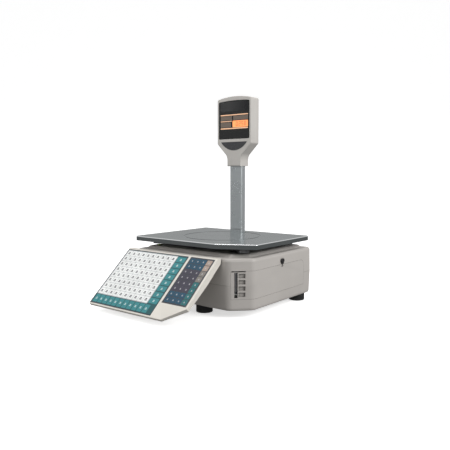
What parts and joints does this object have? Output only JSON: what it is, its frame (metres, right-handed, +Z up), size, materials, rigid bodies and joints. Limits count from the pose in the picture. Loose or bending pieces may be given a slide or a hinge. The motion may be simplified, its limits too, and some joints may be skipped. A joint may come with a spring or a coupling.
{
  "type": "retail price scale",
  "caption": "Counter price-computing scale with a stainless platter, sloped flat keyboard, pull-out label printer drawer and a pole display.",
  "frame": {"origin": "middle of the bottom of the whole object's box, on the counter", "axes": "+Z up, +Y away from the operator, +X to the operator's right"},
  "size_m": [0.3594, 0.4788, 0.548],
  "materials": {
    "housing_plastic": "fine texture, warm light grey",
    "keyboard_plastic": "fine texture, cream",
    "overlay_film": "printed polyester film, satin",
    "platter_steel": "polished pressed stainless steel",
    "cast_support": "cast, satin",
    "zinc_steel": "zinc plated",
    "circuit_board": "solder resist",
    "black_plastic": "satin black",
    "black_rubber": "matt",
    "level_glass": "clear with green fluid",
    "tray_plastic": "dark grey",
    "white_gear_plastic": "natural acetal",
    "label_paper": "coated thermal paper",
    "head_alloy": "satin",
    "pole_metal": "satin grey-blue",
    "bracket_metal": "satin grey",
    "head_plastic": "satin grey",
    "window_gloss": "gloss black",
    "lcd_panel": "display panel"
  },
  "bodies": {
    "housing": {"base_pan": "housing_plastic", "top_cover": "housing_plastic", "cover_screws": "zinc_steel", "chassis_plate": "zinc_steel", "chassis_screws": "zinc_steel", "load_cell": "cast_support", "load_cell_bolts": "zinc_steel", "main_board": "circuit_board", "power_supply": "zinc_steel", "power_inlet": "black_plastic", "switch_bezel": "black_plastic", "bubble_level": "level_glass", "drawer_rails": "zinc_steel", "latch_spring": "zinc_steel", "keyboard_top_shell": "keyboard_plastic", "keyboard_bottom_shell": "keyboard_plastic", "keyboard_screws": "zinc_steel", "plu_overlay": "overlay_film", "function_overlay": "overlay_film", "keyboard_board": "circuit_board", "pole_tube": "pole_metal", "pole_bracket": "bracket_metal", "pole_bracket_screws": "zinc_steel", "display_cable": "black_rubber", "head_front_shell": "head_plastic", "head_rear_shell": "head_plastic", "head_screws": "zinc_steel", "front_window": "window_gloss", "rear_window": "window_gloss", "crescent_panel": "window_gloss", "front_lcd": "lcd_panel", "rear_lcd": "lcd_panel", "display_board": "circuit_board"},
    "weigh": {"platter_support": "cast_support", "support_bumpers": "black_rubber", "support_bolts": "zinc_steel"},
    "platter": {"platter": "platter_steel"},
    "drawer": {"drawer_front": "housing_plastic", "drawer_tray": "tray_plastic", "mech_plate": "zinc_steel", "stepper_motor": "zinc_steel", "roll_spindle": "black_plastic", "peel_bar": "zinc_steel"},
    "roll": {"label_roll": "label_paper"},
    "take_up": {"take_up_spool": "white_gear_plastic"},
    "platen": {"platen_roller": "black_rubber", "platen_gear": "white_gear_plastic"},
    "pinion": {"motor_pinion": "white_gear_plastic"},
    "head": {"print_head": "head_alloy", "head_bracket": "zinc_steel"},
    "latch": {"latch_button": "black_plastic"},
    "rocker": {"power_rocker": "black_plastic"},
    "foot_front_left": {"foot_pad_front_left": "black_rubber", "foot_stud_front_left": "zinc_steel"},
    "foot_front_right": {"foot_pad_front_right": "black_rubber", "foot_stud_front_right": "zinc_steel"},
    "foot_rear_left": {"foot_pad_rear_left": "black_rubber", "foot_stud_rear_left": "zinc_steel"},
    "foot_rear_right": {"foot_pad_rear_right": "black_rubber", "foot_stud_rear_right": "zinc_steel"}
  },
  "joints": [
    {"name": "weigh_travel", "type": "slide", "parent": "housing", "child": "weigh", "axis": [0, 0, -1], "range_m": [0, 0.0006], "stiffness_N_per_m": 80000, "springref_m": -0.0004, "deforming": ["load_cell"]},
    {"name": "platter_lift", "type": "slide", "parent": "weigh", "child": "platter", "axis": [0, 0, 1], "range_m": [0, 0.12]},
    {"name": "drawer_slide", "type": "slide", "parent": "housing", "child": "drawer", "axis": [1, 0, 0], "range_m": [0, 0.1]},
    {"name": "roll_spin", "type": "hinge", "parent": "drawer", "child": "roll", "pos_m": [0.1097, 0.10638, 0.0572], "axis": [0, 0, 1], "continuous": true},
    {"name": "take_up_spin", "type": "hinge", "parent": "drawer", "child": "take_up", "pos_m": [0.09223, -0.02976, 0.0492], "axis": [0, 0, 1], "continuous": true},
    {"name": "platen_spin", "type": "hinge", "parent": "drawer", "child": "platen", "pos_m": [0.12237, -0.071, 0.0492], "axis": [0, 0, 1], "continuous": true},
    {"name": "motor_spin", "type": "hinge", "parent": "drawer", "child": "pinion", "pos_m": [0.10322, -0.05994, 0.0492], "axis": [0, 0, 1], "continuous": true},
    {"name": "head_pivot", "type": "hinge", "parent": "drawer", "child": "head", "pos_m": [0.11764, -0.03897, 0.0572], "axis": [0, 0, 1], "range_deg": [0, 12], "stiffness_Nm_per_rad": 0.5, "springref_deg": -5.73},
    {"name": "latch_push", "type": "slide", "parent": "housing", "child": "latch", "axis": [-1, 0, 0], "range_m": [0, 0.003], "stiffness_N_per_m": 600, "springref_m": -0.004, "deforming": ["latch_spring"]},
    {"name": "power_rock", "type": "hinge", "parent": "housing", "child": "rocker", "pos_m": [0.0597, 0.20039, 0.046], "axis": [1, 0, 0], "range_deg": [0, 9]},
    {"name": "foot_front_left_screw", "type": "slide", "parent": "housing", "child": "foot_front_left", "axis": [0, 0, -1], "range_m": [0, 0.006]},
    {"name": "foot_front_right_screw", "type": "slide", "parent": "housing", "child": "foot_front_right", "axis": [0, 0, -1], "range_m": [0, 0.006]},
    {"name": "foot_rear_left_screw", "type": "slide", "parent": "housing", "child": "foot_rear_left", "axis": [0, 0, -1], "range_m": [0, 0.006]},
    {"name": "foot_rear_right_screw", "type": "slide", "parent": "housing", "child": "foot_rear_right", "axis": [0, 0, -1], "range_m": [0, 0.006]}
  ],
  "couplings": [
    {"joint": "motor_spin", "follows": "take_up_spin", "ratio": -3.5714},
    {"joint": "platen_spin", "follows": "take_up_spin", "ratio": 1.6667}
  ]
}
